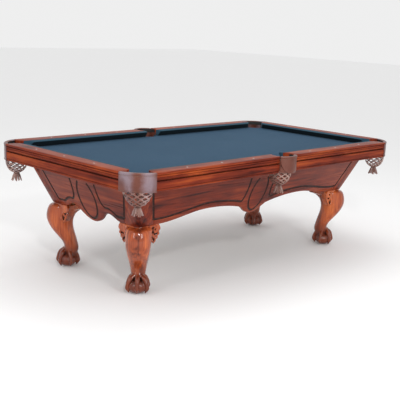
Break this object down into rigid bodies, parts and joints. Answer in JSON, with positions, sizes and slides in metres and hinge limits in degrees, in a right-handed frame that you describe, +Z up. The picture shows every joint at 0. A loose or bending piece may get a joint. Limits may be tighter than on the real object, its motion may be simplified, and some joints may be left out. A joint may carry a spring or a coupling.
{
  "type": "pool table",
  "caption": "Drop-pocket pool table with slate bed, cloth, cushions, leaning carved aprons, cabriole legs with ball-and-claw feet, and leather net pockets.",
  "frame": {"origin": "on the floor, under the middle of the bed", "axes": "+X along the table, +Y across it towards the back long side, +Z up"},
  "size_m": [2.5012, 1.4676, 0.797],
  "materials": {
    "leg_wood": "gloss stained cherry, darkened carving",
    "cabinet_wood": "gloss stained cherry, dark antiqued grooves",
    "rail_wood": "gloss stained cherry",
    "blind_wood": "gloss stained cherry, dark antiqued grooves",
    "frame_wood": "raw poplar",
    "cushion_cloth": "wool cloth over rubber",
    "bed_cloth": "worsted wool cloth",
    "slate": "honed",
    "pearl": "pearl",
    "iron": "black",
    "steel": "zinc plated",
    "pocket_leather": "smooth brown leather",
    "net_leather": "brown leather strips"
  },
  "bodies": {
    "root": {"leg_front_left": "leg_wood", "leg_front_right": "leg_wood", "leg_back_right": "leg_wood", "leg_back_left": "leg_wood", "leg_bolts": "steel", "corner_blocks": "frame_wood", "post_front_left": "cabinet_wood", "post_front_right": "cabinet_wood", "post_back_right": "cabinet_wood", "post_back_left": "cabinet_wood", "apron_front": "cabinet_wood", "apron_back": "cabinet_wood", "apron_left": "cabinet_wood", "apron_right": "cabinet_wood", "side_beam_front": "frame_wood", "side_beam_back": "frame_wood", "end_beam_left": "frame_wood", "end_beam_right": "frame_wood", "cross_beam_left": "frame_wood", "cross_beam_right": "frame_wood", "middle_beams": "frame_wood", "slate_left": "slate", "slate_middle": "slate", "slate_right": "slate", "slate_screws": "steel", "bed_cloth": "bed_cloth", "rail_front_left": "rail_wood", "rail_front_right": "rail_wood", "rail_back_left": "rail_wood", "rail_back_right": "rail_wood", "rail_end_left": "rail_wood", "rail_end_right": "rail_wood", "blind_front_left": "blind_wood", "blind_front_right": "blind_wood", "blind_back_left": "blind_wood", "blind_back_right": "blind_wood", "blind_end_left": "blind_wood", "blind_end_right": "blind_wood", "cushion_front_left": "cushion_cloth", "cushion_front_right": "cushion_cloth", "cushion_back_left": "cushion_cloth", "cushion_back_right": "cushion_cloth", "cushion_end_left": "cushion_cloth", "cushion_end_right": "cushion_cloth", "rail_bolts": "steel", "sights": "pearl", "pocket_irons": "iron", "leather_front_left": "pocket_leather", "leather_front_right": "pocket_leather", "leather_back_right": "pocket_leather", "leather_back_left": "pocket_leather", "leather_side_front": "pocket_leather", "leather_side_back": "pocket_leather", "net_front_left": "net_leather", "net_front_right": "net_leather", "net_back_right": "net_leather", "net_back_left": "net_leather", "net_side_front": "net_leather", "net_side_back": "net_leather"}
  },
  "joints": []
}
